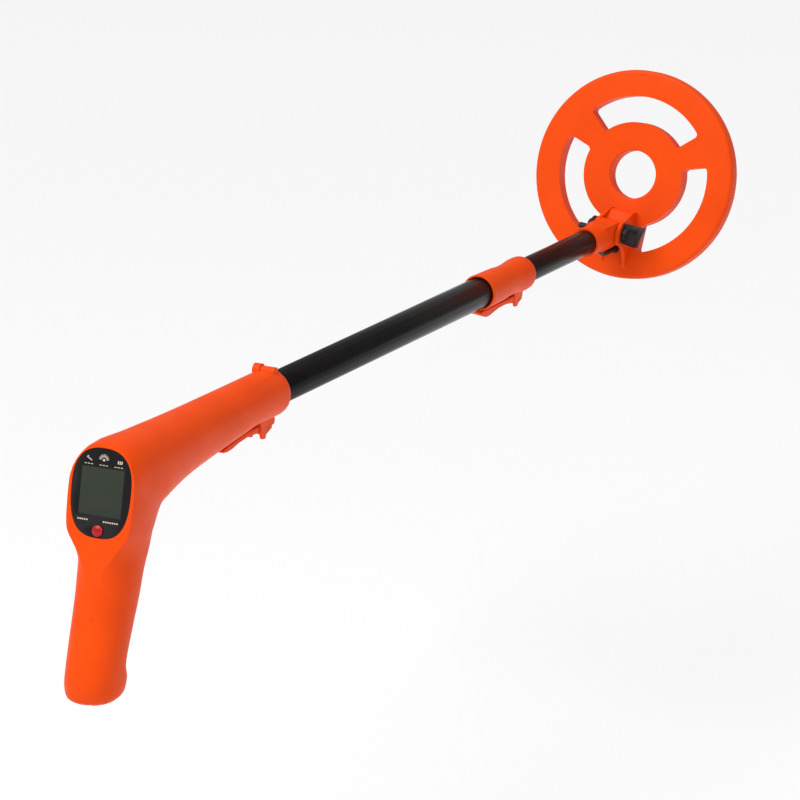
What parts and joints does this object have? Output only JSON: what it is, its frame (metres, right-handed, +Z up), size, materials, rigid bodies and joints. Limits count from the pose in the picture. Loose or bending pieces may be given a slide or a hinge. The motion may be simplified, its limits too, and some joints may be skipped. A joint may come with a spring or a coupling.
{
  "type": "metal detector",
  "caption": "Light pistol-grip metal detector: display handle, two telescoping tubes with cam-lever clamps, and a ring search coil on a tilting yoke.",
  "frame": {"origin": "centre of the hand hold on the pistol grip, 90 mm below the shaft axis", "axes": "+Y forward along the shaft towards the coil, +X to the user's right, +Z up"},
  "size_m": [0.1601, 0.8649, 0.2559],
  "materials": {
    "orange_plastic": "satin moulded",
    "black_gloss": "gloss",
    "print_cream": "printed",
    "lcd": "gloss",
    "white_plastic": "satin",
    "board_green": "lacquered",
    "chip_black": "matt",
    "steel": "zinc plated",
    "battery_can": "printed foil",
    "black_plastic": "satin moulded",
    "lead_red": "satin",
    "button_red": "gloss",
    "rubber_black": "matt",
    "tube_black": "satin black",
    "cable_black": "satin",
    "copper": "enamelled wire"
  },
  "bodies": {
    "handle": {"shell_right": "orange_plastic", "shell_left": "orange_plastic", "shell_screws": "steel", "fascia": "black_gloss", "fascia_marks": "print_cream", "display": "lcd", "display_light": "white_plastic", "main_board": "board_green", "board_parts": "chip_black", "button_switch": "chip_black", "board_screws": "steel", "speaker": "chip_black", "battery": "battery_can", "battery_snap": "black_plastic", "battery_leads": "lead_red", "speaker_leads": "lead_red", "door_pin": "steel", "handle_lever_pin": "orange_plastic", "handle_brake_pad": "rubber_black", "lead_handle": "cable_black"},
    "power_button": {"power_button": "button_red"},
    "battery_door": {"battery_door": "orange_plastic"},
    "handle_lever": {"handle_lever": "orange_plastic"},
    "upper_tube": {"upper_tube": "tube_black", "tube_stop_ring": "black_plastic", "collar": "orange_plastic", "collar_lever_pin": "orange_plastic", "collar_brake_pad": "rubber_black", "lead_curl": "cable_black"},
    "collar_lever": {"collar_lever": "orange_plastic"},
    "lower_tube": {"lower_tube": "tube_black", "tube_guide": "white_plastic", "lead_lower": "cable_black", "yoke": "orange_plastic", "yoke_gland": "cable_black", "coil_cable": "cable_black"},
    "coil": {"coil_top_shell": "orange_plastic", "coil_bottom_cover": "orange_plastic", "transmit_winding": "copper", "receive_winding": "copper", "cable_gland": "cable_black", "friction_washers": "rubber_black"},
    "pivot_bolt": {"pivot_bolt": "black_plastic", "bolt_knob": "black_plastic"},
    "wing_nut": {"wing_nut": "black_plastic"}
  },
  "joints": [
    {"name": "power_button_press", "type": "slide", "parent": "handle", "child": "power_button", "axis": [0, 0.9848, -0.1736], "range_m": [0, 0.0008], "stiffness_N_per_m": 800, "springref_m": -0.001},
    {"name": "battery_door_hinge", "type": "hinge", "parent": "handle", "child": "battery_door", "pos_m": [0, -0.02464, -0.04731], "axis": [-1, 0, 0], "range_deg": [0, 95]},
    {"name": "handle_lever_hinge", "type": "hinge", "parent": "handle", "child": "handle_lever", "pos_m": [0, 0.199, 0.0698], "axis": [1, 0, 0], "range_deg": [0, 100]},
    {"name": "upper_tube_slide", "type": "slide", "parent": "handle", "child": "upper_tube", "axis": [0, 1, 0], "range_m": [-0.115, 0.018], "deforming": ["lead_handle"]},
    {"name": "collar_lever_hinge", "type": "hinge", "parent": "upper_tube", "child": "collar_lever", "pos_m": [-0.002, 0.5996, 0.07372], "axis": [0.9925, 0, -0.1219], "range_deg": [0, 100]},
    {"name": "lower_tube_slide", "type": "slide", "parent": "upper_tube", "child": "lower_tube", "axis": [0, 1, 0], "range_m": [-0.112, 0.02], "deforming": ["lead_curl"]},
    {"name": "coil_tilt", "type": "hinge", "parent": "lower_tube", "child": "coil", "pos_m": [0, 0.775, 0.09], "axis": [0.9925, 0, -0.1219], "range_deg": [-78, 32], "deforming": ["coil_cable"]},
    {"name": "pivot_bolt_spin", "type": "hinge", "parent": "coil", "child": "pivot_bolt", "pos_m": [0, 0.775, 0.09], "axis": [0.9925, 0, -0.1219], "continuous": true},
    {"name": "wing_nut_spin", "type": "hinge", "parent": "pivot_bolt", "child": "wing_nut", "pos_m": [0, 0.775, 0.09], "axis": [0.9925, 0, -0.1219], "continuous": true}
  ]
}
